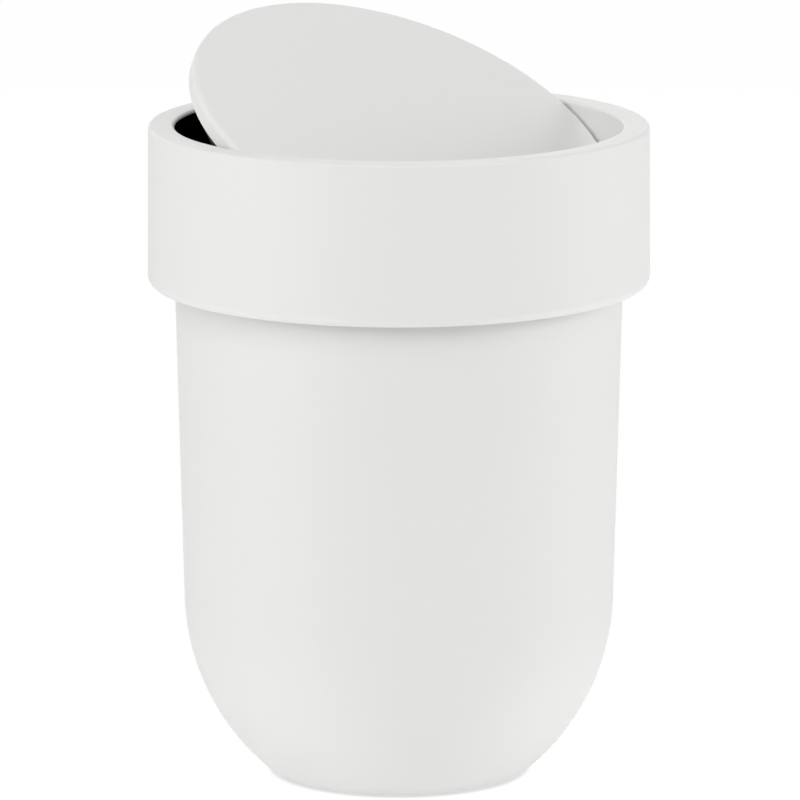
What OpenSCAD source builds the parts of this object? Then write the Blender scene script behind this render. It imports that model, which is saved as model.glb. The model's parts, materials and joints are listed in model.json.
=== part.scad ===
// Countertop trash can with a swing lid: tub, lift-off collar, and a lid on two pivots.
// Millimetres, +Z up, origin on the counter at the middle of the base.

/* [Can] */
// Height of the can's rim above the counter
can_h = 220; // [205:1:240]
// Slope of the can's wall, in degrees from upright
can_taper = 1.44; // [0.5:0.02:3]
// Wall thickness of the can
can_wall = 2.4; // [1.6:0.1:3.2]
// Thickness of the can's floor
can_floor = 3.2; // [2.6:0.1:6]
// Radius of the big curve from the wall into the base
bowl_r = 89; // [82:0.5:95]
// Height of that curve's centre above the counter
bowl_centre_h = 70; // [60:1:80]
// Rounding where the curve meets the flat base
base_corner_r = 3; // [1:0.5:6]
// Rounding inside, where the bowl meets the floor
floor_corner_r = 8; // [3:0.5:14]
// How far the can's outer wall lies outside the collar's mouth
can_step = 0.8; // [0.4:0.1:1.6]
// Thickness of the flange round the can's rim
flange_t = 2.4; // [1.6:0.1:4]
// How far the flange stays inside the ring that sits on it
flange_setback = 0.9; // [0.5:0.1:1.5]

/* [Foot pads] */
// Radius of a pad
pad_r = 7; // [4:0.5:9]
// Thickness of a pad
pad_t = 1.9; // [1.2:0.1:2.4]
// How far a pad stands proud of the base
pad_proud = 0.6; // [0.3:0.1:1]
// Distance of each pad from the middle of the base
pad_ring_r = 35; // [20:1:37]

/* [Collar] */
// Outer radius of the collar at its top
collar_r = 95; // [90:0.5:105]
// How much wider the collar is at its bottom edge, in radius
collar_flare = 0.4; // [0:0.1:1.5]
// Height of the collar
collar_h = 61.2; // [52:0.2:75]
// How far the collar's top stands above the can's rim
collar_rise = 30.5; // [29:0.5:40]
// Width of the collar's top rim
rim_w = 9.9; // [9.4:0.1:12]
// Thickness of the rim's top
rim_t = 3; // [2:0.1:4]
// Thickness of the collar's outer wall
skirt_t = 3.4; // [2.6:0.1:3.6]
// Thickness of the collar's inner wall
mouth_wall_t = 2.4; // [2:0.1:2.6]
// Depth of the collar's inner wall below the rim
mouth_wall_h = 14.5; // [13:0.5:18]
// Rounding of the collar's lower outer edge
collar_foot_round = 4; // [2:0.5:5]
// Rounding of the rim's two top edges
rim_round = 1.3; // [0.6:0.1:1.8]

/* [Pivot ring] */
// Radial gap between the pivot ring and the collar's outer wall
ring_fit = 0.3; // [0.2:0.1:0.5]
// Wall thickness left beside the channel under the ring
ring_wall = 1.5; // [1.2:0.1:1.8]
// Thickness left above that channel
ring_roof = 3; // [2:0.5:5]
// Radius of the round housing about each bush
housing_r = 5.8; // [5.7:0.1:6.1]
// Thickness of the dark lining on the half of the mouth where the lid stands raised
lining_t = 1; // [0.8:0.1:1.1]
// Number of ribs that centre the collar on the can's flange
rib_count = 12; // [6:2:18]
// Thickness of a rib
rib_t = 2; // [1.2:0.2:3]
// Gap between a rib and the can's flange
rib_gap = 0.3; // [0.2:0.1:0.6]

/* [Lid] */
// Compass angle of the hinge axis, counted from +X towards +Y
hinge_az = 42.9; // [0:0.1:90]
// How far the lid is swung open as it stands
lid_tilt = 28; // [0:0.5:60]
// Furthest the lid swings either way from level
lid_swing_max = 75; // [60:1:80]
// Radial gap between the lid and the collar's mouth
lid_gap = 0.9; // [0.6:0.1:1.5]
// Height of the lid's top face above the hinge axis
lid_top_h = 8; // [7.4:0.1:9]
// Height of the lid's light side band
lid_band_h = 6.4; // [5:0.1:6.8]
// Wall thickness of the lid's top piece
disc_wall = 2.2; // [1.6:0.1:2.6]
// Rounding of the lid's top edge
disc_top_round = 2; // [1:0.1:3]
// Depth of the pan's underside below the hinge axis
pan_depth = 18; // [16.5:0.5:20]
// Slope of the pan's side, in degrees from upright
pan_slope = 38; // [30:1:40]
// Wall thickness of the pan
pan_wall = 1.8; // [1.2:0.1:2.4]
// Rounding of the pan's lower edge
pan_round = 5; // [3:0.5:6]

/* [Hinge] */
// Radius of a pivot pin
pin_r = 2.5; // [2:0.1:2.7]
// Length of a pivot pin
pin_l = 16; // [13:0.5:20]
// Running gap between a pin and its bush
pin_run = 0.05; // [0.02:0.01:0.1]
// Wall thickness of a bush
bush_wall = 1.4; // [1:0.1:1.5]
// Thickness of a bush's flange
bush_flange_t = 1.1; // [0.8:0.1:1.5]
// How far a bush's flange stands out from its body
bush_flange_w = 0.8; // [0.5:0.1:0.9]
// Distance of the stop peg from the hinge axis
stop_arm = 7.1; // [7:0.1:7.6]
// Radius of the stop peg
stop_peg_r = 1.2; // [0.9:0.1:1.3]
// Gap round the stop peg in its groove
stop_gap = 0.3; // [0.2:0.05:0.35]

/* [Counterweight and screws] */
// Length of the counterweight bar
weight_l = 70; // [50:1:90]
// Width of the counterweight bar
weight_w = 24; // [16:1:34]
// Thickness of the counterweight bar
weight_t = 5; // [3:0.5:6]
// Distance of each counterweight screw from the bar's middle
weight_screw_x = 25; // [18:1:32]
// Radius of the screws' threads
screw_r = 1.25; // [1:0.05:1.4]
// Radius of the screws' heads
screw_head_r = 2.3; // [1.9:0.1:2.4]
// Height of the screws' heads
screw_head_h = 1.8; // [1.2:0.1:2.4]
// Gap round the screws in the holes that they pass through
screw_gap = 0.2; // [0.1:0.05:0.3]
// How deep a screw bites into its boss
screw_bite = 5; // [3:0.5:5.5]
// Distance of the lid screws from the lid's middle
lid_screw_ring_r = 58; // [48:1:62]

/* [Hidden] */
$fn = 96;

WHITE = [0.90, 0.90, 0.89];
BLACK = [0.03, 0.03, 0.03];
ACETAL = [0.80, 0.79, 0.74];
STEEL = [0.62, 0.63, 0.65];
PAD_GREY = [0.45, 0.45, 0.45];

// Overlap that makes a cut run past a face
past = 1;
// Two pieces of one assembly that are pressed together keep this gap
press_gap = 0.02;
// Straight steps that the bowl's curve and a small rounding are drawn in
bowl_steps = 24;
corner_steps = 8;

// Foot pads: gap round each pad in its pocket, and the compass angle of the first
pad_pocket_gap = 0.2;
pad_start_az = 45;

// Heights
base_z = pad_proud;
floor_z = base_z + can_floor;
collar_top_z = can_h + collar_rise;
collar_bot_z = collar_top_z - collar_h;
ring_top_z = collar_top_z - mouth_wall_h;
pivot_z = collar_top_z - lid_top_h;

// Radii that follow from the collar
mouth_r = collar_r - rim_w;
can_rim_r = mouth_r + can_step;
skirt_in_top_r = collar_r - skirt_t;
skirt_in_bot_r = collar_r + collar_flare - skirt_t;
ring_out_r = skirt_in_top_r - ring_fit;
ring_mid_r = (mouth_r + ring_out_r) / 2;
flange_r = ring_out_r - flange_setback;
lid_r = mouth_r - lid_gap;
mouth_wall_out_r = mouth_r + mouth_wall_t;

// The lining lies in a recess of the collar's inner wall, under the rounded lip of the rim
lining_gap = 0.1;
// Distances from the hinge's plane at which the lining and its recess end
lining_end = 3.2;
recess_end = 3;
lining_out_r = mouth_r + lining_t;
recess_top_z = collar_top_z - rim_round;
lining_top_z = recess_top_z - lining_gap;

// The bowl's curve touches the sloping wall
bowl_centre_r = can_rim_r - (can_h - bowl_centre_h) * tan(can_taper) - bowl_r / cos(can_taper);

// The lid, in its own frame: hinge along X, top face up, pivot centre at the origin
band_bot_h = lid_top_h - lid_band_h;
disc_under_h = lid_top_h - disc_wall;
band_in_r = lid_r - disc_wall;
pan_floor_h = pan_wall - pan_depth;
tongue_t = 1.6;
tongue_fit = 0.2;
tongue_h = 2.2;
tongue_out_r = band_in_r - tongue_fit;
// How far the top of the pan's side stays inside the band
pan_setback = 0.8;

// Pins, bushes and stops, along the hinge
bush_in_gap = 0.3;
bush_out_gap = 0.2;
pin_end_gap = 0.4;
pin_boss_wall = 2.2;
pin_boss_floor = 1.5;
bush_in_x = mouth_r + bush_in_gap;
bush_out_x = ring_out_r - bush_out_gap;
bush_r = pin_r + pin_run + bush_wall;
bush_flange_r = bush_r + bush_flange_w;
pin_out_x = bush_out_x - pin_end_gap;
pin_in_x = pin_out_x - pin_l;
pin_boss_r = pin_r + pin_boss_wall;
pin_boss_x = pin_in_x - pin_boss_floor;
// How far a stop peg reaches into the ring, and the wall beside its groove
stop_reach = 1.8;
// The arm that carries a stop peg: its width, and the room left between it and the mouth
stop_arm_w = 4;
stop_arm_gap = 1.2;
stop_block_wall = 1.2;
stop_groove_in_r = stop_arm - stop_peg_r - stop_gap;
stop_groove_out_r = stop_arm + stop_peg_r + stop_gap;
// Angle that the peg and its gap take up at each end of the groove
stop_half_angle = asin((stop_peg_r + stop_gap) / stop_arm);
stop_block_w = stop_groove_out_r + stop_block_wall;
stop_block_top_h = 0.8;
// Clearance of the collar's inner wall round the housing
housing_gap = 0.2;

// Ribs: lower ends above the collar's bottom edge, and tops below the can's rim
rib_bot_h = 12;
rib_top_gap = 0.8;

// Screws
screw_hole_r = screw_r + screw_gap;
screw_head_hole_r = screw_head_r + screw_gap;
boss_wall = 1.6;
boss_r = screw_r + boss_wall;
// Depth of a screw's hole past the screw's end
screw_hole_spare = 0.5;
ring_screw_count = 4;
ring_screw_az = hinge_az + 45;
// How deep the ring's screw heads lie above its lower face
ring_head_recess = 2.6;
ring_head_z = can_h + ring_head_recess + screw_head_h;
lid_screw_count = 4;
lid_screw_az = 45;
// Height at which the disc's bosses meet the pan's columns
split_h = 0;
column_r = screw_head_hole_r + boss_wall;
column_roof = 2.4;
weight_boss_h = 4;
weight_boss_r = boss_r + 1;
weight_hole_spare = 0.2;
weight_bot_h = pan_floor_h + weight_boss_h;
weight_top_h = weight_bot_h + weight_t;
weight_corner_r = 5;

// Helpers

// Radius of the collar's outer face at a height
function collar_face_r(z) = collar_r + collar_flare * (collar_top_z - z) / collar_h;

// Points along an arc from angle a0 to angle a1, both ends included
function arc_points(cx, cy, r, a0, a1, count) =
    [for (i = [0 : count]) let (a = a0 + (a1 - a0) * i / count) [cx + r * cos(a), cy + r * sin(a)]];

// Radius of the tub's wall at a height, moved inwards by inset
function wall_r(inset, z) = can_rim_r - (can_h - z) * tan(can_taper) - inset / cos(can_taper);

// Outline of the tub, moved inwards by inset: the wall at top_z, the bowl, and the middle of bottom_z
function tub_points(inset, bottom_z, corner, top_z) =
    let (
        arc_r = bowl_r - inset,
        // The corner's circle lies inside the bowl's circle and touches it and the bottom
        corner_dz = bottom_z + corner - bowl_centre_h,
        corner_dr = sqrt(pow(arc_r - corner, 2) - pow(corner_dz, 2)),
        touch_angle = atan2(corner_dz, corner_dr)
    )
    concat(
        [[wall_r(inset, top_z), top_z]],
        arc_points(bowl_centre_r, bowl_centre_h, arc_r, -can_taper, touch_angle, bowl_steps),
        arc_points(bowl_centre_r + corner_dr, bottom_z + corner, corner, touch_angle, -90, corner_steps),
        [[0, bottom_z]]
    );

// Places what is drawn in the lid's frame, turned from level by the given angle
module at_hinge(tilt) {
    translate([0, 0, pivot_z]) rotate([0, 0, hinge_az]) rotate([tilt, 0, 0]) children();
}

// A round bar along X from one place on the axis to another
module bar_x(r, x0, x1) {
    translate([x0, 0, 0]) rotate([0, 90, 0]) cylinder(r = r, h = x1 - x0);
}

// Both ends of the hinge, as a turn about the lid's own upright axis
module both_ends() {
    for (turn = [0, 180]) rotate([0, 0, turn]) children();
}

// Copies evenly round the middle, starting at an angle and a radius
module around(count, start, r) {
    for (i = [0 : count - 1]) rotate([0, 0, start + i * 360 / count]) translate([r, 0, 0]) children();
}

// Rectangle with round corners, centred
module round_rect(w, d, r) {
    square([w - 2 * r, d], center = true);
    square([w, d - 2 * r], center = true);
    for (x = [-1, 1], y = [-1, 1]) translate([x * (w / 2 - r), y * (d / 2 - r)]) circle(r);
}

// A screw whose head's underside is at the origin and whose thread points along -Z
module screw(length) {
    cylinder(r = screw_head_r, h = screw_head_h);
    translate([0, 0, -length]) cylinder(r = screw_r, h = length + screw_head_h / 2);
}

// Can

module can_body() {
    color(WHITE) difference() {
        rotate_extrude() difference() {
            polygon(concat(
                [[0, can_h]],
                flange_points(),
                tub_points(0, base_z, base_corner_r, can_h - flange_t)
            ));
            polygon(concat(
                [[0, can_h + past]],
                tub_points(can_wall, floor_z, floor_corner_r, can_h + past)
            ));
        }
        foot_places() translate([0, 0, -past]) cylinder(r = pad_r + pad_pocket_gap, h = pad_t + past);
    }
}

// The round outer edge of the flange that carries the collar
function flange_points() =
    let (edge_r = flange_t / 2)
    arc_points(flange_r - edge_r, can_h - edge_r, edge_r, 90, -90, 2 * corner_steps);

// Foot pads

module foot_places() {
    around(4, pad_start_az, pad_ring_r) children();
}

module foot_pad(az) {
    color(PAD_GREY) rotate([0, 0, az]) translate([pad_ring_r, 0, 0]) cylinder(r = pad_r, h = pad_t);
}

// Collar

module collar_shell() {
    color(WHITE) difference() {
        union() {
            rotate_extrude() difference() {
                collar_outline();
                collar_hollow();
            }
            collar_ribs();
            collar_bosses();
        }
        around(ring_screw_count, ring_screw_az, ring_mid_r)
            translate([0, 0, ring_top_z - past])
                cylinder(r = screw_r + press_gap, h = screw_bite + past + screw_hole_spare);
        at_hinge(0) both_ends() housing_shape(housing_gap, mouth_r - past, mouth_wall_out_r + past);
        raised_half(recess_end, mouth_r - past, lining_out_r + lining_gap, ring_top_z - past, recess_top_z);
    }
}

// The part of a tube that lies on the lid's raised side, from a distance off the hinge's plane
module raised_half(start, r0, r1, z0, z1) {
    intersection() {
        rotate_extrude() translate([r0, z0]) square([r1 - r0, z1 - z0]);
        rotate([0, 0, hinge_az]) translate([-collar_r, start, z0 - past])
            cube([2 * collar_r, collar_r, z1 - z0 + 2 * past]);
    }
}

// Half section of the collar's outside, with its three rounded edges
module collar_outline() {
    lean = atan(collar_flare / collar_h);
    foot_cz = collar_bot_z + collar_foot_round;
    foot_cr = collar_face_r(foot_cz) - collar_foot_round / cos(lean);
    top_cz = collar_top_z - rim_round;
    top_cr = collar_face_r(top_cz) - rim_round / cos(lean);
    polygon([
        [mouth_r, collar_bot_z],
        [foot_cr, collar_bot_z],
        [foot_cr + collar_foot_round * cos(lean), foot_cz + collar_foot_round * sin(lean)],
        [top_cr + rim_round * cos(lean), top_cz + rim_round * sin(lean)],
        [top_cr, collar_top_z],
        [mouth_r + rim_round, collar_top_z],
        [mouth_r, top_cz]
    ]);
    translate([foot_cr, foot_cz]) circle(collar_foot_round);
    translate([top_cr, top_cz]) circle(rim_round);
    translate([mouth_r + rim_round, top_cz]) circle(rim_round);
}

// Half section of the space inside the collar: the open skirt and the hollow rim
module collar_hollow() {
    polygon([
        [mouth_r - past, collar_bot_z - past],
        [skirt_in_bot_r, collar_bot_z - past],
        [skirt_in_top_r, collar_top_z - rim_t],
        [mouth_wall_out_r, collar_top_z - rim_t],
        [mouth_wall_out_r, ring_top_z],
        [mouth_r - past, ring_top_z]
    ]);
}

// Ribs inside the skirt that keep the collar centred on the can's flange
module collar_ribs() {
    rib_in_r = flange_r + rib_gap;
    rib_top_z = can_h - rib_top_gap;
    rib_bot_z = collar_bot_z + rib_bot_h;
    depth = skirt_in_top_r + skirt_t / 2 - rib_in_r;
    around(rib_count, 0, rib_in_r)
        translate([0, -rib_t / 2, rib_bot_z]) cube([depth, rib_t, rib_top_z - rib_bot_z]);
}

// Bosses in the hollow rim that the ring's screws bite into
module collar_bosses() {
    around(ring_screw_count, ring_screw_az, ring_mid_r)
        translate([0, 0, ring_top_z]) cylinder(r = boss_r, h = collar_top_z - rim_t / 2 - ring_top_z);
}

// Pivot ring

// The housing about a bush with the stop block under it, grown by a gap, between two places on the axis
module housing_shape(gap, x0, x1) {
    bar_x(housing_r + gap, x0, x1);
    block_h = pivot_z + stop_block_top_h - ring_top_z;
    translate([x0, -stop_block_w - gap, stop_block_top_h + gap - block_h - past])
        cube([x1 - x0, 2 * (stop_block_w + gap), block_h + past]);
}

module pivot_ring() {
    color(BLACK) difference() {
        union() {
            rotate_extrude() translate([mouth_r, can_h]) square([ring_out_r - mouth_r, ring_top_z - can_h]);
            raised_half(lining_end, mouth_r, lining_out_r, ring_top_z - past, lining_top_z);
            intersection() {
                at_hinge(0) both_ends() housing_shape(0, mouth_r - past, ring_out_r + past);
                rotate_extrude() translate([mouth_r, can_h])
                    square([ring_out_r - mouth_r, collar_top_z - rim_t - can_h]);
            }
        }
        ring_channel();
        around(ring_screw_count, ring_screw_az, ring_mid_r) {
            translate([0, 0, can_h - past]) cylinder(r = screw_hole_r, h = ring_top_z - can_h + 2 * past);
            translate([0, 0, can_h - past]) cylinder(r = screw_head_hole_r, h = ring_head_z - can_h + past);
        }
        at_hinge(0) both_ends() {
            bar_x(bush_r + press_gap, mouth_r - past, ring_out_r + past);
            bar_x(bush_flange_r + press_gap, bush_out_x - bush_flange_t - press_gap, ring_out_r + past);
            stop_groove();
        }
    }
}

// Channel under the ring, which stops short of the screws and the stop blocks
module ring_channel() {
    channel_w = ring_out_r - mouth_r - 2 * ring_wall;
    difference() {
        rotate_extrude() translate([mouth_r + ring_wall, can_h - past])
            square([channel_w, ring_top_z - ring_roof - can_h + past]);
        around(ring_screw_count, ring_screw_az, ring_mid_r)
            translate([0, 0, can_h - 2 * past]) cylinder(r = column_r, h = ring_top_z - can_h);
        rotate([0, 0, hinge_az]) translate([-collar_r, -stop_block_w, can_h - 2 * past])
            cube([2 * collar_r, 2 * stop_block_w, ring_top_z - can_h]);
    }
}

// Groove that the stop peg runs in, as a part ring about the hinge axis
module stop_groove() {
    half = lid_swing_max + stop_half_angle;
    translate([mouth_r - past, 0, 0]) rotate([0, 90, 0]) rotate([0, 0, -half])
        rotate_extrude(angle = 2 * half) translate([stop_groove_in_r, 0])
            square([stop_groove_out_r - stop_groove_in_r, past + stop_reach + stop_gap]);
}

// Bushes, pins and screws

module pivot_bush(turn) {
    color(ACETAL) at_hinge(0) rotate([0, 0, turn]) difference() {
        union() {
            bar_x(bush_r, bush_in_x, bush_out_x);
            bar_x(bush_flange_r, bush_out_x - bush_flange_t, bush_out_x);
        }
        bar_x(pin_r + pin_run, bush_in_x - past, bush_out_x + past);
    }
}

module pivot_pin(turn) {
    color(STEEL) at_hinge(lid_tilt) rotate([0, 0, turn]) bar_x(pin_r, pin_in_x, pin_out_x);
}

module ring_screws() {
    color(STEEL) around(ring_screw_count, ring_screw_az, ring_mid_r)
        translate([0, 0, ring_head_z]) rotate([180, 0, 0]) screw(ring_top_z + screw_bite - ring_head_z);
}

// Lid

module lid_disc() {
    color(WHITE) at_hinge(lid_tilt) difference() {
        union() {
            rotate_extrude() difference() {
                disc_outline();
                translate([-past, band_bot_h - past])
                    square([band_in_r + past, disc_under_h - band_bot_h + past]);
            }
            disc_ribs();
            around(lid_screw_count, lid_screw_az, lid_screw_ring_r)
                translate([0, 0, split_h]) cylinder(r = boss_r, h = lid_top_h - disc_wall / 2 - split_h);
        }
        around(lid_screw_count, lid_screw_az, lid_screw_ring_r)
            translate([0, 0, split_h - past])
                cylinder(r = screw_r + press_gap, h = screw_bite + past + screw_hole_spare);
        both_ends() bar_x(pin_r + 2 * press_gap, band_in_r - past, lid_r + past);
    }
}

// Half section of the lid's top piece, filled, with its rounded edges
module disc_outline() {
    low_round = 0.5;
    translate([0, band_bot_h]) square([lid_r - disc_top_round, lid_band_h]);
    translate([0, band_bot_h + low_round]) square([lid_r, lid_band_h - disc_top_round - low_round]);
    translate([0, band_bot_h]) square([lid_r - low_round, lid_band_h / 2]);
    translate([lid_r - disc_top_round, lid_top_h - disc_top_round]) circle(disc_top_round);
    translate([lid_r - low_round, band_bot_h + low_round]) circle(low_round);
}

// Two stiffening ribs in rings under the lid's top
module disc_ribs() {
    rib_w = 1.5;
    rib_h = 3;
    outer_step = 8;
    for (r = [lid_screw_ring_r / 2, lid_screw_ring_r + outer_step])
        rotate_extrude() translate([r, disc_under_h - rib_h]) square([rib_w, rib_h + disc_wall / 2]);
}

module lid_pan() {
    color(BLACK) at_hinge(lid_tilt) difference() {
        union() {
            rotate_extrude() difference() {
                pan_section(0);
                pan_section(pan_wall);
            }
            rotate_extrude() pan_tongue();
            intersection() {
                rotate_extrude() pan_section(pan_wall / 2);
                pan_inner_solids();
            }
            both_ends() {
                bar_x(pin_boss_r, pin_boss_x, tongue_out_r);
                stop_arm_and_peg();
            }
        }
        both_ends() bar_x(pin_r + press_gap, pin_in_x - press_gap, lid_r + past);
        around(lid_screw_count, lid_screw_az, lid_screw_ring_r) {
            translate([0, 0, -pan_depth]) cylinder(r = screw_hole_r, h = pan_depth + split_h + past);
            translate([0, 0, -pan_depth - past])
                cylinder(r = screw_head_hole_r, h = pan_depth + past + split_h - column_roof);
        }
        for (x = [-weight_screw_x, weight_screw_x])
            translate([x, 0, pan_floor_h - weight_hole_spare])
                cylinder(r = screw_r + press_gap, h = weight_boss_h + past);
    }
}

// The arm that hangs from the pin's boss, with the stop peg at its foot
module stop_arm_and_peg() {
    arm_out_x = mouth_r - stop_arm_gap;
    low = stop_arm + stop_peg_r;
    translate([pin_boss_x, -stop_arm_w / 2, -low]) cube([arm_out_x - pin_boss_x, stop_arm_w, low]);
    translate([0, 0, -stop_arm]) bar_x(stop_peg_r, arm_out_x - past, mouth_r + stop_reach);
}

// Radius of the pan's sloping side at a height, moved inwards by inset
function pan_side_r(inset, h) =
    lid_r - pan_setback - (band_bot_h - h) * tan(pan_slope) - inset / cos(pan_slope);

// Filled half section of the pan, moved inwards by inset: a shallow cone with a flat bottom
module pan_section(inset) {
    bottom_h = inset - pan_depth;
    round_r = pan_round - inset / 2;
    top_h = inset > 0 ? band_bot_h + past : band_bot_h;
    // The lower edge's circle touches the side and the bottom
    round_h = bottom_h + round_r;
    round_x = pan_side_r(inset, round_h) - round_r / cos(pan_slope);
    polygon(concat(
        [[0, top_h]],
        [[pan_side_r(inset, top_h), top_h]],
        arc_points(round_x, round_h, round_r, -pan_slope, -90, corner_steps),
        [[0, bottom_h]]
    ));
}

// Half section of the lip that locates the pan inside the lid's band
module pan_tongue() {
    translate([tongue_out_r - tongue_t, split_h]) square([tongue_t, band_bot_h + tongue_h - split_h]);
}

// The screw columns and the bosses under the counterweight
module pan_inner_solids() {
    around(lid_screw_count, lid_screw_az, lid_screw_ring_r)
        translate([0, 0, -pan_depth]) cylinder(r = column_r, h = pan_depth + split_h);
    for (x = [-weight_screw_x, weight_screw_x])
        translate([x, 0, -pan_depth]) cylinder(r = weight_boss_r, h = weight_bot_h + pan_depth);
}

module lid_screws() {
    color(STEEL) at_hinge(lid_tilt) around(lid_screw_count, lid_screw_az, lid_screw_ring_r)
        translate([0, 0, split_h - column_roof]) rotate([180, 0, 0]) screw(column_roof + screw_bite);
}

module counterweight() {
    color(STEEL) at_hinge(lid_tilt) translate([0, 0, weight_bot_h]) difference() {
        linear_extrude(weight_t) round_rect(weight_l, weight_w, weight_corner_r);
        for (x = [-weight_screw_x, weight_screw_x])
            translate([x, 0, -past]) cylinder(r = screw_hole_r, h = weight_t + 2 * past);
    }
}

module counterweight_screws() {
    color(STEEL) at_hinge(lid_tilt) for (x = [-weight_screw_x, weight_screw_x])
        translate([x, 0, weight_top_h]) screw(weight_t + weight_boss_h);
}

can_body();
foot_pad(pad_start_az + 180);  // foot_pad_front_left
foot_pad(pad_start_az + 270);  // foot_pad_front_right
foot_pad(pad_start_az + 90);  // foot_pad_back_left
foot_pad(pad_start_az);  // foot_pad_back_right
collar_shell();
pivot_ring();
pivot_bush(180);  // pivot_bush_left
pivot_bush(0);  // pivot_bush_right
ring_screws();
lid_disc();
lid_pan();
pivot_pin(180);  // pivot_pin_left
pivot_pin(0);  // pivot_pin_right
counterweight();
counterweight_screws();
lid_screws();
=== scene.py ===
"""Looks of a countertop bin with a swing lid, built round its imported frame.

Sizes are in millimetres, as the part's source has them. A finished mesh is scaled to metres once, and its
object stays at the origin.
"""

import json
import logging
import math
from dataclasses import dataclass, field
from enum import Enum, IntEnum
from typing import Any

import bmesh
import bpy
from mathutils import Matrix, Vector

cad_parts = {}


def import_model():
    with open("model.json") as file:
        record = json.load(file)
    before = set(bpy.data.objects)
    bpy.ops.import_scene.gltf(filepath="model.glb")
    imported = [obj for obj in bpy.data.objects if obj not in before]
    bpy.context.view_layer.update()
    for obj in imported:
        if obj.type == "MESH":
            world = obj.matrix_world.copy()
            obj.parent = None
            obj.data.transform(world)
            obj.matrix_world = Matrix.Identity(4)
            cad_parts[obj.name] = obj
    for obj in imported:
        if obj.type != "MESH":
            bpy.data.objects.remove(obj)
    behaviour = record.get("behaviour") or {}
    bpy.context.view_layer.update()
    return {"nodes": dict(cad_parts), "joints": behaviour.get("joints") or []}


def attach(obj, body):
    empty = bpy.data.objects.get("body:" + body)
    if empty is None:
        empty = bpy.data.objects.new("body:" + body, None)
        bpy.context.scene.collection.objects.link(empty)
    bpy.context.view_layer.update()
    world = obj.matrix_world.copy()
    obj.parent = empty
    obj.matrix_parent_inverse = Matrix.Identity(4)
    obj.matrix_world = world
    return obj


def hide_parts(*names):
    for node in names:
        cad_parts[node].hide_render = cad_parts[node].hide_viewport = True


LOG = logging.getLogger("bin")
MM = 0.001
# Flats in a full turn
ROUND_STEPS = 192
BAR_STEPS = 48
# Points closer than this are one point
MERGE = 1e-5
# How far a cutter runs past what it cuts
PAST = 1.0
# Edges that turn more than this stay sharp
SHARP_ANGLE = math.radians(32.0)
# Shading takes its normals from the largest faces
FLAT_FACES_FIRST = 100
# The range in which most of a noise lies
NOISE_LOW, NOISE_HIGH = 0.3, 0.7
# Sockets of a Mix node set to colours, where the same names come again
MIX_SHARE, MIX_FIRST, MIX_SECOND, MIX_RESULT = 0, 6, 7, 2
PURE_WHITE = (1.0, 1.0, 1.0, 1.0)
AS_DRAWN = Matrix.Identity(4).freeze()


class Joined(Enum):
    """How one solid is joined to another."""

    CUT = "DIFFERENCE"
    FUSED = "UNION"
    SHARED = "INTERSECT"


class ArcSteps(IntEnum):
    """How many edges a round stretch gets."""

    FILLET = 4
    LIP = 5
    EDGE = 6
    RIM = 8
    INSIDE = 10
    CORNER = 12
    BEND = 14
    ARCH = 32


def verts_in(geometry: list[Any]) -> list[bmesh.types.BMVert]:
    """Gives the vertices among what an operator made.

    Args:
        geometry: vertices, edges and faces.

    Returns:
        The vertices alone.
    """
    return [item for item in geometry if isinstance(item, bmesh.types.BMVert)]


class HalfSection:
    """A half section in the XZ plane, drawn point after point, that is spun about Z into a round piece."""

    def __init__(self, x: float, z: float) -> None:
        """Starts the section.

        Args:
            x: distance of the first point from the axis.
            z: height of the first point.
        """
        self.mesh = bmesh.new()
        self.first = self.mesh.verts.new((x, 0.0, z))
        self.tip = self.first

    def line(self, x: float, z: float) -> "HalfSection":
        """Draws a straight edge.

        Args:
            x: distance of its far end from the axis.
            z: height of its far end.

        Returns:
            The section itself.
        """
        corner = self.mesh.verts.new((x, 0.0, z))
        self.mesh.edges.new((self.tip, corner))
        self.tip = corner
        return self

    def arc(self, x: float, z: float, degrees: float, steps: int) -> "HalfSection":
        """Draws an arc about a centre, counter-clockwise where the angle is positive.

        Args:
            x: distance of the centre from the axis.
            z: height of the centre.
            degrees: angle that the arc takes.
            steps: edges that it is made of.

        Returns:
            The section itself.
        """
        made = bmesh.ops.spin(
            self.mesh,
            geom=[self.tip],
            cent=(x, 0.0, z),
            axis=(0.0, -1.0, 0.0),
            angle=math.radians(degrees),
            steps=steps,
        )
        self.tip = verts_in(made["geom_last"])[0]
        return self

    def close(self) -> "HalfSection":
        """Joins the last point to the first, and returns the section itself."""
        self.mesh.edges.new((self.tip, self.first))
        return self

    def spun(self, steps: int = ROUND_STEPS) -> bmesh.types.BMesh:
        """Spins the section a full turn about Z.

        Args:
            steps: flats in the full turn.

        Returns:
            The mesh, with its faces pointing outwards.
        """
        mesh = self.mesh
        bmesh.ops.spin(
            mesh,
            geom=mesh.verts[:] + mesh.edges[:],
            cent=(0.0, 0.0, 0.0),
            axis=(0.0, 0.0, 1.0),
            angle=math.tau,
            steps=steps,
            use_merge=True,
        )
        bmesh.ops.remove_doubles(mesh, verts=mesh.verts[:], dist=MERGE)
        bmesh.ops.recalc_face_normals(mesh, faces=mesh.faces[:])
        return mesh


def bar(
    radius: float, start: float, end: float, place: Matrix, steps: int = BAR_STEPS
) -> bmesh.types.BMesh:
    """Makes a round bar along its own Z, closed at both ends.

    Args:
        radius: the bar's radius.
        start: where it starts along Z.
        end: where it ends along Z.
        place: where the bar goes.
        steps: flats round the bar.

    Returns:
        The bar's mesh.
    """
    mesh = bmesh.new()
    bmesh.ops.create_cone(
        mesh,
        cap_ends=True,
        segments=steps,
        radius1=radius,
        radius2=radius,
        depth=end - start,
        matrix=place @ Matrix.Translation((0.0, 0.0, (start + end) / 2)),
    )
    return mesh


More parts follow.
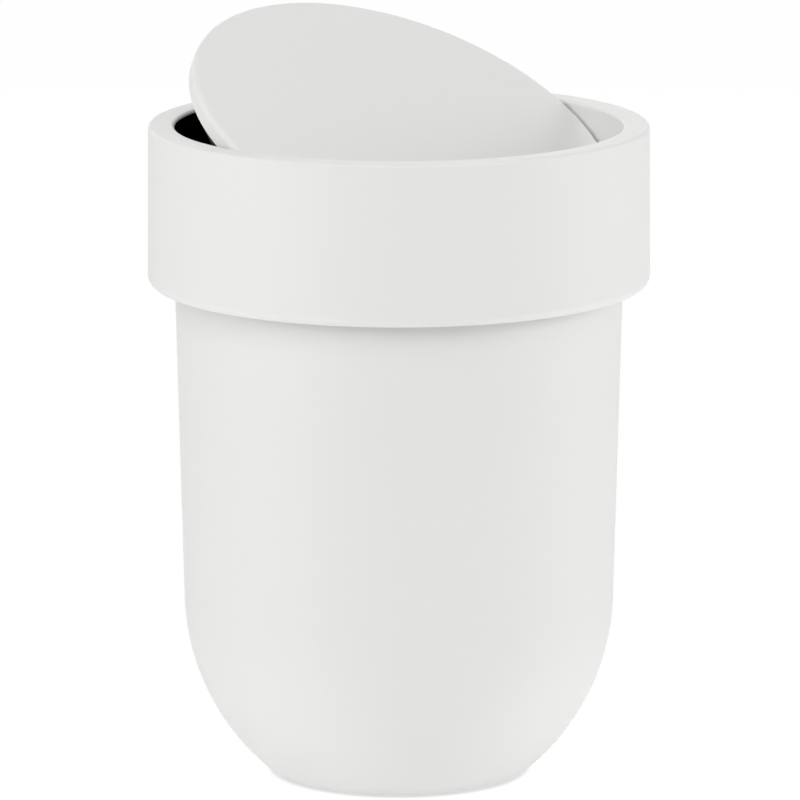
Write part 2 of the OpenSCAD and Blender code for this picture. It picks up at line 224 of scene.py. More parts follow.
def block(low: Vector, high: Vector, place: Matrix) -> bmesh.types.BMesh:
    """Makes a block.

    Args:
        low: its lowest corner, before it is placed.
        high: its highest corner, before it is placed.
        place: where the block goes.

    Returns:
        The block's mesh.
    """
    mesh = bmesh.new()
    size = high - low
    shape = Matrix.Translation((low + high) / 2) @ Matrix.Diagonal((*size, 1.0))
    bmesh.ops.create_cube(mesh, size=1.0, matrix=place @ shape)
    return mesh


def gathered(parts: list[bmesh.types.BMesh]) -> bpy.types.Mesh:
    """Puts several meshes into one, and frees them.

    Args:
        parts: the meshes.

    Returns:
        One mesh that holds them all.
    """
    whole = bmesh.new()
    for part in parts:
        piece = bpy.data.meshes.new("part")
        part.to_mesh(piece)
        part.free()
        whole.from_mesh(piece)
        bpy.data.meshes.remove(piece)
    mesh = bpy.data.meshes.new("gathered")
    whole.to_mesh(mesh)
    whole.free()
    return mesh


def worked(
    body: bmesh.types.BMesh, how: Joined, tools: list[bmesh.types.BMesh]
) -> bmesh.types.BMesh:
    """Cuts tools out of a solid, fuses them to it, or keeps what they share with it.

    Args:
        body: the solid, which is freed.
        how: cut, fused or shared.
        tools: closed solids that don't touch each other, which are freed.

    Returns:
        The finished solid.
    """
    blank = bpy.data.objects.new("blank", gathered([body]))
    tool = bpy.data.objects.new("tool", gathered(tools))
    for piece in (blank, tool):
        bpy.context.scene.collection.objects.link(piece)
    step = blank.modifiers.new("joined", "BOOLEAN")
    step.operation = how.value
    step.solver = "EXACT"
    step.object = tool
    result = bmesh.new()
    result.from_object(blank, bpy.context.evaluated_depsgraph_get())
    for piece in (blank, tool):
        mesh = piece.data
        bpy.data.objects.remove(piece)
        bpy.data.meshes.remove(mesh)
    bmesh.ops.remove_doubles(result, verts=result.verts[:], dist=MERGE)
    bmesh.ops.dissolve_degenerate(result, edges=result.edges[:], dist=MERGE)
    return result


def piece_from(mesh: bmesh.types.BMesh, name: str, place: Matrix = AS_DRAWN) -> bpy.types.Object:
    """Turns a mesh in millimetres into a finished object in metres.

    Args:
        mesh: the mesh, which is freed.
        name: the piece's name.
        place: where the piece goes, in millimetres.

    Returns:
        The object, at the origin and unturned, with its place in its mesh.
    """
    bmesh.ops.transform(mesh, matrix=Matrix.Scale(MM, 4) @ place, verts=mesh.verts[:])
    for face in mesh.faces:
        face.smooth = True
    data = bpy.data.meshes.new(name)
    mesh.to_mesh(data)
    mesh.free()
    data.set_sharp_from_angle(angle=SHARP_ANGLE)
    piece = bpy.data.objects.new(name, data)
    bpy.context.scene.collection.objects.link(piece)
    shading = piece.modifiers.new("flat_faces_stay_flat", "WEIGHTED_NORMAL")
    shading.keep_sharp = True
    shading.weight = FLAT_FACES_FIRST
    return piece


class Term:
    """A value in a material's tree that takes part in sums and products."""

    def __init__(self, bench: "Bench", socket: bpy.types.NodeSocket) -> None:
        """Wraps a socket.

        Args:
            bench: the tree that the socket is in.
            socket: the output that gives the value.
        """
        self.bench = bench
        self.socket = socket

    def worked_out(self, operation: str, first: Any, second: Any) -> "Term":
        """Adds a Math node, and returns its result.

        Args:
            operation: the Math node's operation.
            first: its first value, a number or a term.
            second: its second value, a number or a term.

        Returns:
            The result as a term.
        """
        made = self.bench.node("ShaderNodeMath", {"operation": operation}, {0: first, 1: second})
        return Term(self.bench, made.outputs[0])

    def __add__(self, other: Any) -> "Term":
        """Adds a number or a term."""
        return self.worked_out("ADD", self, other)

    def __radd__(self, other: Any) -> "Term":
        """Adds to a number."""
        return self.worked_out("ADD", other, self)

    def __mul__(self, other: Any) -> "Term":
        """Multiplies by a number or a term."""
        return self.worked_out("MULTIPLY", self, other)

    def __rmul__(self, other: Any) -> "Term":
        """Multiplies a number."""
        return self.worked_out("MULTIPLY", other, self)

    def or_larger(self, other: Any) -> "Term":
        """Gives the larger of the term and another value."""
        return self.worked_out("MAXIMUM", self, other)


class Bench:
    """The node tree of one material, world or floor."""

    def __init__(self, tree: bpy.types.NodeTree) -> None:
        """Clears a tree.

        Args:
            tree: the tree to work in.
        """
        self.tree = tree
        tree.nodes.clear()

    def node(
        self, kind: str, settings: dict[str, Any] | None = None, sockets: dict[Any, Any] | None = None
    ) -> bpy.types.Node:
        """Adds a node.

        Args:
            kind: the node's type.
            settings: its settings, such as an operation, or the stops of a ramp.
            sockets: the values or links of its inputs, by name or number.

        Returns:
            The node.
        """
        made = self.tree.nodes.new(kind)
        for name, value in (settings or {}).items():
            if name == "stops":
                for stop, (position, level) in zip(made.color_ramp.elements, value, strict=True):
                    stop.position = position
                    stop.color = (level, level, level, 1.0)
            else:
                setattr(made, name, value)
        for name, value in (sockets or {}).items():
            if isinstance(value, Term):
                self.tree.links.new(value.socket, made.inputs[name])
            elif isinstance(value, bpy.types.NodeSocket):
                self.tree.links.new(value, made.inputs[name])
            else:
                made.inputs[name].default_value = value
        return made

    def where(self) -> bpy.types.NodeSocket:
        """Gives the point on the object."""
        return self.node("ShaderNodeTexCoord").outputs["Object"]

    def noise(self, size: float, detail: float = 2.0) -> Term:
        """Adds a noise over the object.

        Args:
            size: width of its patches in millimetres.
            detail: how many finer layers it has.

        Returns:
            The noise, from 0 to 1.
        """
        sockets = {"Vector": self.where(), "Scale": 1.0 / (size * MM), "Detail": detail}
        return Term(self, self.node("ShaderNodeTexNoise", None, sockets).outputs["Fac"])

    def spread(self, value: Term, low: float, high: float) -> Term:
        """Stretches a noise's middle range over a wider or narrower one.

        Args:
            value: the noise.
            low: what its low side becomes.
            high: what its high side becomes.

        Returns:
            The stretched value, kept between the two.
        """
        before = {"From Min": NOISE_LOW, "From Max": NOISE_HIGH}
        sockets = {"Value": value, **before, "To Min": low, "To Max": high}
        return Term(self, self.node("ShaderNodeMapRange", {"clamp": True}, sockets).outputs["Result"])

    def mixed(self, share: Term, first: tuple, second: tuple) -> bpy.types.NodeSocket:
        """Mixes two colours.

        Args:
            share: share of the second colour.
            first: the first colour.
            second: the second colour.

        Returns:
            The mixed colour.
        """
        settings = {"data_type": "RGBA"}
        sockets = {MIX_SHARE: share, MIX_FIRST: (*first, 1.0), MIX_SECOND: (*second, 1.0)}
        return self.node("ShaderNodeMix", settings, sockets).outputs[MIX_RESULT]


@dataclass(frozen=True)
class Finish:
    """What every finish has: a name, the record's slot, and a colour with its faint second shade."""

    name: str
    slot: str
    colour: tuple[float, float, float]
    shade: tuple[float, float, float]
    roughness: tuple[float, float]

    def material(self) -> bpy.types.Material:
        """Gives the material, made once."""
        found = bpy.data.materials.get(self.name)
        return found or self.make()

    def make(self) -> bpy.types.Material:
        """Makes the material's tree.

        Returns:
            The new material.
        """
        material = bpy.data.materials.new(self.name)
        material.use_nodes = True
        bench = Bench(material.node_tree)
        shader = bench.node("ShaderNodeBsdfPrincipled")
        self.dress(bench, shader)
        bench.node("ShaderNodeOutputMaterial", None, {"Surface": shader.outputs[0]})
        return material

    def dress(self, bench: Bench, shader: bpy.types.Node) -> None:
        """Sets the shader's colour, roughness and relief.

        Args:
            bench: the material's tree.
            shader: its Principled node.
        """
        raise NotImplementedError

    def tint(self, bench: Bench, shader: bpy.types.Node, patches: Term, gloss: Term) -> None:
        """Sets the shader's colour and roughness.

        Args:
            bench: the material's tree.
            shader: its Principled node.
            patches: where the second shade shows.
            gloss: where the surface is rougher.
        """
        colour = bench.mixed(bench.spread(patches, 0.0, 1.0), self.colour, self.shade)
        bench.tree.links.new(colour, shader.inputs["Base Color"])
        low, high = self.roughness
        rough = bench.spread(gloss, low, high)
        bench.tree.links.new(rough.socket, shader.inputs["Roughness"])

    @staticmethod
    def relief(bench: Bench, shader: bpy.types.Node, height: Term, depth: float) -> None:
        """Gives the surface a relief.

        Args:
            bench: the material's tree.
            shader: its Principled node.
            height: the relief, from 0 to 1.
            depth: its depth in millimetres.
        """
        sockets = {"Strength": 1.0, "Distance": depth * MM, "Height": height}
        bump = bench.node("ShaderNodeBump", None, sockets)
        bench.tree.links.new(bump.outputs[0], shader.inputs["Normal"])


@dataclass(frozen=True)
class MouldedPlastic(Finish):
    """Moulded plastic with the fine grain of an eroded tool, and a slow change of shade from handling."""

    specular: float = 0.5
    grain: float = 0.45
    grain_depth: float = 0.004
    grain_gloss: float = 0.4
    patch: float = 14.0
    patch_detail: float = 3.0
    wave: float = 56.0
    wave_depth: float = 2.0

    def dress(self, bench: Bench, shader: bpy.types.Node) -> None:
        """Sets the shader's colour, roughness and relief.

        Args:
            bench: the material's tree.
            shader: its Principled node.
        """
        patches = bench.noise(self.patch, self.patch_detail)
        fine = bench.noise(self.grain)
        waves = bench.noise(self.wave)
        self.tint(bench, shader, patches, patches * (1.0 - self.grain_gloss) + fine * self.grain_gloss)
        shader.inputs["Specular IOR Level"].default_value = self.specular
        self.relief(bench, shader, fine + waves * self.wave_depth, self.grain_depth)


@dataclass(frozen=True)
class PlatedSteel(Finish):
    """Steel with a thin bright plating, dulled in patches and drawn in fine lines."""

    line: float = 0.25
    line_depth: float = 0.003
    line_gloss: float = 0.5
    patch: float = 3.0
    patch_detail: float = 4.0

    def dress(self, bench: Bench, shader: bpy.types.Node) -> None:
        """Sets the shader's colour, roughness and relief.

        Args:
            bench: the material's tree.
            shader: its Principled node.
        """
        dull = bench.noise(self.patch, self.patch_detail)
        lines = bench.noise(self.line)
        self.tint(bench, shader, dull, dull * (1.0 - self.line_gloss) + lines * self.line_gloss)
        shader.inputs["Metallic"].default_value = 1.0
        self.relief(bench, shader, lines, self.line_depth)


@dataclass(frozen=True)
class SoftRubber(Finish):
    """Dull rubber with a dusty bloom on it."""

    specular: float = 0.3
    bloom: float = 2.0
    bloom_detail: float = 5.0
    pore: float = 0.3
    pore_depth: float = 0.01

    def dress(self, bench: Bench, shader: bpy.types.Node) -> None:
        """Sets the shader's colour, roughness and relief.

        Args:
            bench: the material's tree.
            shader: its Principled node.
        """
        bloom = bench.noise(self.bloom, self.bloom_detail)
        self.tint(bench, shader, bloom, bloom)
        shader.inputs["Specular IOR Level"].default_value = self.specular
        self.relief(bench, shader, bench.noise(self.pore), self.pore_depth)


WHITE = MouldedPlastic(
    "white_plastic", "white_plastic", (0.80, 0.80, 0.795), (0.785, 0.785, 0.78), (0.33, 0.43)
)
# Partly painted shade: the pan's own black plastic, made dark enough to stand in for the deep shade under
# the raised lid.
PAN_BLACK_WITH_SHADE = MouldedPlastic(
    "black_plastic",
    "black_plastic",
    (0.012, 0.012, 0.012),
    (0.009, 0.009, 0.009),
    (0.5, 0.62),
    specular=0.35,
)
# Painted shade: a black with no shine for the pivot ring, shown where the collar's wall is cut away under
# the raised lid; it stands in for the deep shade there.
LINING_SHADE_BLACK = MouldedPlastic(
    "painted_shade_black",
    "black_plastic",
    (0.0012, 0.0012, 0.0012),
    (0.0006, 0.0006, 0.0006),
    (0.8, 0.95),
    specular=0.0,
)
ACETAL = MouldedPlastic(
    "acetal",
    "acetal",
    (0.72, 0.71, 0.66),
    (0.69, 0.68, 0.63),
    (0.28, 0.38),
    grain=0.2,
    grain_depth=0.003,
)
STEEL = PlatedSteel("plated_steel", "steel", (0.55, 0.56, 0.58), (0.47, 0.48, 0.49), (0.26, 0.42))
RUBBER = SoftRubber("pad_rubber", "pad_rubber", (0.33, 0.33, 0.33), (0.38, 0.38, 0.37), (0.75, 0.9))


def dressed(piece: bpy.types.Object, finish: Finish, body: str, *nodes: str) -> bpy.types.Object:
    """Finishes a new piece: its material, its body and the nodes that it stands for.

    Args:
        piece: the piece.
        finish: its finish.
        body: the body that it rides on.
        nodes: the nodes that it stands for.

    Returns:
        The piece.
    """
    piece.data.materials.append(finish.material())
    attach(piece, body)
    if nodes:
        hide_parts(*nodes)
    return piece


def painted(nodes: dict[str, bpy.types.Object], finish: Finish, *names: str) -> list[bpy.types.Object]:
    """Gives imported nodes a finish, and leaves their meshes as they are.

    Args:
        nodes: the frame's nodes by name.
        finish: their finish.
        names: the nodes to paint.

    Returns:
        The nodes' objects.
    """
    found = [nodes[name] for name in names]
    for node in found:
        if not node.material_slots:
            node.data.materials.append(finish.material())
        for slot in node.material_slots:
            slot.material = finish.material()
    return found


@dataclass
class Can:
    """The tapered tub with its bowl-shaped foot, and the four pads under it."""

    body: str = "can"
    rim_z: float = 220.0
    rim_r: float = 85.9
    taper: float = 1.44
    wall: float = 2.4
    base_z: float = 0.6
    floor_z: float = 3.8
    bowl_r: float = 89.0
    bowl_z: float = 70.0
    base_corner: float = 3.0
    floor_corner: float = 8.0
    flange_r: float = 90.4
    flange_t: float = 2.4
    mouth_round: float = 0.6
    bowl_steps: int = 44
    pad_r: float = 7.0
    pad_t: float = 1.9
    pad_gap: float = 0.2
    pad_ring_r: float = 35.0
    pad_round: float = 0.5
    pad_steps: int = 64
    groove_r: float = 3.5
    groove_w: float = 0.8
    groove_t: float = 0.4
    pads: tuple[tuple[str, float], ...] = (
        ("foot_pad_back_right", 45.0),
        ("foot_pad_back_left", 135.0),
        ("foot_pad_front_left", 225.0),
        ("foot_pad_front_right", 315.0),
    )

    def slope(self) -> float:
        """Gives the wall's slope as an angle in radians."""
        return math.radians(self.taper)

    def wall_r(self, inset: float, z: float) -> float:
        """Gives the wall's radius.

        Args:
            inset: how far inside the outer face.
            z: the height.

        Returns:
            The radius there.
        """
        return self.rim_r - (self.rim_z - z) * math.tan(self.slope()) - inset / math.cos(self.slope())

    def bowl_x(self) -> float:
        """Gives the distance of the bowl curve's centre from the axis."""
        return self.wall_r(0.0, self.bowl_z) - self.bowl_r / math.cos(self.slope())

    def corner(self, inset: float, bottom: float, corner: float) -> tuple[float, float]:
        """Finds the small curve between the bowl and its flat bottom.

        Args:
            inset: how far inside the outer face the bowl is.
            bottom: height of the flat bottom.
            corner: radius of the small curve.

        Returns:
            The distance of its centre from the axis, and the angle in degrees where it meets the bowl.
        """
        drop = bottom + corner - self.bowl_z
        reach = math.sqrt((self.bowl_r - inset - corner) ** 2 - drop**2)
        return self.bowl_x() + reach, math.degrees(math.atan2(drop, reach))

    def tub(self) -> bpy.types.Object:
        """Makes the tub, with pockets for the pads in its flat base."""
        outer_x, outer_meet = self.corner(0.0, self.base_z, self.base_corner)
        inner_x, inner_meet = self.corner(self.wall, self.floor_z, self.floor_corner)
        edge = self.flange_t / 2
        top_r = self.wall_r(self.wall, self.rim_z)
        section = HalfSection(outer_x, self.base_z)
        section.arc(outer_x, self.base_z + self.base_corner, outer_meet + 90.0, ArcSteps.RIM)
        section.arc(self.bowl_x(), self.bowl_z, -self.taper - outer_meet, self.bowl_steps)
        section.line(self.wall_r(0.0, self.rim_z - self.flange_t), self.rim_z - self.flange_t)
        section.line(self.flange_r - edge, self.rim_z - self.flange_t)
        section.arc(self.flange_r - edge, self.rim_z - edge, 180.0, ArcSteps.CORNER)
        section.line(top_r + self.mouth_round, self.rim_z)
        section.arc(
            top_r + self.mouth_round, self.rim_z - self.mouth_round, 90.0 + self.taper, ArcSteps.EDGE
        )
        start = math.radians(-self.taper)
        inner_r = self.bowl_r - self.wall
        section.line(self.bowl_x() + inner_r * math.cos(start), self.bowl_z + inner_r * math.sin(start))
        section.arc(self.bowl_x(), self.bowl_z, inner_meet + self.taper, self.bowl_steps)
        section.arc(inner_x, self.floor_z + self.floor_corner, -90.0 - inner_meet, ArcSteps.BEND)
        section.line(0.0, self.floor_z)
        mesh = section.spun()
        self.fill_base(mesh)
        return dressed(piece_from(mesh, "tub"), WHITE, self.body, "can_body")

    def fill_base(self, mesh: bmesh.types.BMesh) -> None:
        """Closes the open base, round the four pad pockets.

        Args:
            mesh: the tub, open at its base.
        """
        rim = [edge for edge in mesh.edges if edge.is_boundary]
        pocket_r = self.pad_r + self.pad_gap
        for _, turn in self.pads:
            place = self.pad_place(turn, self.base_z)
            made = bmesh.ops.create_circle(
                mesh, cap_ends=False, radius=pocket_r, segments=self.pad_steps, matrix=place
            )
            lip = list({edge for vert in made["verts"] for edge in vert.link_edges})
            rim += lip
            raised = bmesh.ops.extrude_edge_only(mesh, edges=lip)["geom"]
            verts = verts_in(raised)
            bmesh.ops.translate(mesh, vec=(0.0, 0.0, self.pad_t - self.base_z), verts=verts)
            roof = [item for item in raised if isinstance(item, bmesh.types.BMEdge) and item.is_boundary]
            roof = [edge for edge in roof if all(vert in verts for vert in edge.verts)]
            bmesh.ops.contextual_create(mesh, geom=roof)
        bmesh.ops.triangle_fill(mesh, edges=rim, use_beauty=True)
        bmesh.ops.recalc_face_normals(mesh, faces=mesh.faces[:])

    def pad_place(self, turn: float, height: float) -> Matrix:
        """Gives the place of a pad or of its pocket.

        Args:
            turn: the pad's compass angle.
            height: the height.

        Returns:
            The place's matrix.
        """
        out = Matrix.Translation((self.pad_ring_r, 0.0, height))
        return Matrix.Rotation(math.radians(turn), 4, "Z") @ out

    def pad(self, node: str, turn: float) -> bpy.types.Object:
        """Makes one pad with a soft lower edge and a groove in its foot.

        Args:
            node: the node that the pad stands for.
            turn: the pad's compass angle.

        Returns:
            The pad.
        """
        section = HalfSection(0.0, 0.0)
        section.line(self.groove_r - self.groove_w / 2, 0.0)
        section.line(self.groove_r - self.groove_w / 4, self.groove_t)
        section.line(self.groove_r + self.groove_w / 4, self.groove_t)
        section.line(self.groove_r + self.groove_w / 2, 0.0)
        section.line(self.pad_r - self.pad_round, 0.0)
        section.arc(self.pad_r - self.pad_round, self.pad_round, 90.0, ArcSteps.EDGE)
        section.line(self.pad_r, self.pad_t)
        section.line(0.0, self.pad_t)
        rubber = piece_from(section.spun(self.pad_steps), f"{node}_rubber", self.pad_place(turn, 0.0))
        return dressed(rubber, RUBBER, self.body, node)

    def build(self, nodes: dict[str, bpy.types.Object]) -> list[bpy.types.Object]:
        """Builds and dresses the can.

        Args:
            nodes: the frame's nodes by name; not used.

        Returns:
            Its pieces.
        """
        return [self.tub(), *(self.pad(node, turn) for node, turn in self.pads)]


@dataclass
class Hinge:
    """The lid's hinge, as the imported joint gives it."""

    pivot: Vector
    turn: float

    @classmethod
    def from_joints(cls, joints: list[dict[str, Any]], name: str) -> "Hinge":
        """Reads the hinge.

        Args:
            joints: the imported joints.
            name: the hinge's name.

        Returns:
            The hinge, in millimetres.
        """
        joint = next(j for j in joints if j["name"] == name)
        axis = Vector(joint["axis"])
        return cls(Vector(joint["pos_m"]) / MM, math.atan2(axis.y, axis.x))

    def place(self, tilt: float = 0.0) -> Matrix:
        """Gives the lid's own frame: hinge along X, top face up, pivot at the origin.

        Args:
            tilt: how far the frame is swung open, in degrees.

        Returns:
            The frame's matrix in millimetres.
        """
        swing = Matrix.Rotation(math.radians(tilt), 4, "X")
        return Matrix.Translation(self.pivot) @ Matrix.Rotation(self.turn, 4, "Z") @ swing


@dataclass
class Collar:
    """The deep collar that lifts off, with the pivot ring inside it."""

    hinge: Hinge
    body: str = "collar"
    top_z: float = 250.5
    bottom_z: float = 189.3
    outer_r: float = 95.0
    flare: float = 0.4
    mouth_r: float = 85.1
    rim_t: float = 3.0
    skirt_t: float = 3.4
    mouth_wall: float = 2.4
    mouth_depth: float = 14.5
    foot_round: float = 4.0
    rim_round: float = 1.3
    lip_round: float = 0.4
    hollow_round: float = 0.8
    rib_count: int = 12
    rib_t: float = 2.0
    rib_in_r: float = 90.7
    rib_low_z: float = 201.3
    rib_high_z: float = 219.2
    boss_count: int = 4
    boss_r: float = 2.85
    boss_ring_r: float = 88.2
    notch_r: float = 6.0
    notch_w: float = 10.0
    notch_h: float = 1.0
    notch_depth: float = 8.0
    # Depth and start of the opening that bares the black ring: painted shade.
    shade_opening_depth: float = 1.1
    shade_opening_start: float = 3.0

    def painted_shade_opening(self) -> bmesh.types.BMesh:
        """Makes the cutter that bares the black pivot ring on the side where the lid stands raised: painted
        shade, a black patch where the raised lid's shade falls.
        """
        low, high = self.top_z - self.mouth_depth - 2 * PAST, self.top_z - self.rim_round
        inner, outer = self.mouth_r - PAST, self.mouth_r + self.shade_opening_depth
        tube = HalfSection(inner, low)
        tube.line(outer, low)
        tube.line(outer, high)
        tube.line(inner, high)
        half = block(
            Vector((-2 * outer, self.shade_opening_start, low - PAST)),
            Vector((2 * outer, 2 * outer, high + PAST)),
            Matrix.Rotation(self.hinge.turn, 4, "Z"),
        )
        return worked(tube.close().spun(), Joined.SHARED, [half])

    def section(self) -> HalfSection:
        """Draws the collar's half section."""
        height = self.top_z - self.bottom_z
        lean = math.atan(self.flare / height)
        foot_z = self.bottom_z + self.foot_round
        foot_x = self.face_r(foot_z) - self.foot_round / math.cos(lean)
        skirt_low = self.outer_r + self.flare - self.skirt_t
        skirt_high = self.outer_r - self.skirt_t
        start = -math.acos((skirt_low - foot_x) / self.foot_round)
        rim_z = self.top_z - self.rim_round
        rim_x = self.face_r(rim_z) - self.rim_round / math.cos(lean)
        wall_z = self.top_z - self.mouth_depth
        wall_r = self.mouth_r + self.mouth_wall
        roof_z = self.top_z - self.rim_t
        lip, fillet = self.lip_round, self.hollow_round
        section = HalfSection(skirt_low, foot_z + self.foot_round * math.sin(start))
        section.arc(foot_x, foot_z, math.degrees(lean - start), ArcSteps.BEND)
        section.line(rim_x + self.rim_round * math.cos(lean), rim_z + self.rim_round * math.sin(lean))
        section.arc(rim_x, rim_z, 90.0 - math.degrees(lean), ArcSteps.RIM)
        section.line(self.mouth_r + self.rim_round, self.top_z)
        section.arc(self.mouth_r + self.rim_round, rim_z, 90.0, ArcSteps.RIM)
        section.line(self.mouth_r, wall_z + lip)
        section.arc(self.mouth_r + lip, wall_z + lip, 90.0, ArcSteps.FILLET)
        section.line(wall_r - lip, wall_z)
        section.arc(wall_r - lip, wall_z + lip, 90.0, ArcSteps.FILLET)
        section.line(wall_r, roof_z - fillet)
        section.arc(wall_r + fillet, roof_z - fillet, -90.0, ArcSteps.FILLET)
        section.line(skirt_high - fillet, roof_z)
        section.arc(skirt_high - fillet, roof_z - fillet, -90.0, ArcSteps.FILLET)
        return section.close()

    def face_r(self, z: float) -> float:
        """Gives the radius of the collar's outer face.

        Args:
            z: the height.

        Returns:
            The radius there.
        """
        return self.outer_r + self.flare * (self.top_z - z) / (self.top_z - self.bottom_z)

    def ribs(self) -> list[bmesh.types.BMesh]:
        """Makes the ribs inside the skirt that centre the collar on the can."""
        low = Vector((self.rib_in_r, -self.rib_t / 2, self.rib_low_z))
        high = Vector((self.outer_r - self.skirt_t / 2, self.rib_t / 2, self.rib_high_z))
        turns = [math.tau * index / self.rib_count for index in range(self.rib_count)]
        return [block(low, high, Matrix.Rotation(turn, 4, "Z")) for turn in turns]

    def bosses(self) -> list[bmesh.types.BMesh]:
        """Makes the bosses in the hollow rim that the ring's screws bite into."""
        step = math.tau / self.boss_count
        turns = [self.hinge.turn + step * (index + 0.5) for index in range(self.boss_count)]
        out = Matrix.Translation((self.boss_ring_r, 0.0, 0.0))
        low, high = self.top_z - self.mouth_depth, self.top_z - self.rim_t / 2
        return [bar(self.boss_r, low, high, Matrix.Rotation(turn, 4, "Z") @ out) for turn in turns]

    def notch(self) -> bmesh.types.BMesh:
        """Makes the cutter round a pivot housing: an arch on square shoulders."""
        mesh = bmesh.new()
        low_left, high_left, low_right, high_right = (
            mesh.verts.new((0.0, side, height))
            for side in (-self.notch_w, self.notch_w)
            for height in (-self.notch_depth, self.notch_h)
        )
        rise = math.asin(self.notch_h / self.notch_r)
        shoulder = mesh.verts.new((0.0, self.notch_r * math.cos(rise), self.notch_h))
        outline = (high_left, low_left, low_right, high_right, shoulder)
        for first, second in zip(outline, outline[1:]):
            mesh.edges.new((first, second))
        arch = bmesh.ops.spin(
            mesh,
            geom=[shoulder],
            cent=(0.0, 0.0, 0.0),
            axis=(1.0, 0.0, 0.0),
            angle=math.pi - 2 * rise,
            steps=ArcSteps.ARCH,
        )
        mesh.edges.new((verts_in(arch["geom_last"])[0], high_left))
        face = bmesh.ops.contextual_create(mesh, geom=mesh.edges[:])["faces"]
        grown = bmesh.ops.extrude_face_region(mesh, geom=face)["geom"]
        bmesh.ops.translate(mesh, vec=(self.mouth_wall + 2 * PAST, 0.0, 0.0), verts=verts_in(grown))
        bmesh.ops.recalc_face_normals(mesh, faces=mesh.faces[:])
        return mesh

    def notches(self) -> list[bmesh.types.BMesh]:
        """Makes the two cutters that open the inner wall round the pivot housings."""
        out = Matrix.Translation((self.mouth_r - PAST, 0.0, 0.0))
        cutters = [self.notch(), self.notch()]
        for cutter, turn in zip(cutters, (0.0, math.pi)):
            place = self.hinge.place() @ Matrix.Rotation(turn, 4, "Z") @ out
            bmesh.ops.transform(cutter, matrix=place, verts=cutter.verts[:])
        return cutters

    def shell(self) -> bpy.types.Object:
        """Makes the collar's shell."""
        mesh = worked(self.section().spun(), Joined.FUSED, self.ribs() + self.bosses())
        mesh = worked(mesh, Joined.CUT, self.notches())
        # Bares the black ring on the raised side only: painted shade.
        mesh = worked(mesh, Joined.CUT, [self.painted_shade_opening()])
        return dressed(piece_from(mesh, "collar"), WHITE, self.body, "collar_shell")

    def build(self, nodes: dict[str, bpy.types.Object]) -> list[bpy.types.Object]:
        """Builds and dresses the collar.

        Args:
            nodes: the frame's nodes by name.

        Returns:
            Its pieces.
        """
        return [
            self.shell(),
            # The pivot ring's black is painted shade under the raised lid.
            *painted(nodes, LINING_SHADE_BLACK, "pivot_ring"),
            *painted(nodes, ACETAL, "pivot_bush_left", "pivot_bush_right"),
            *painted(nodes, STEEL, "ring_screws"),
        ]


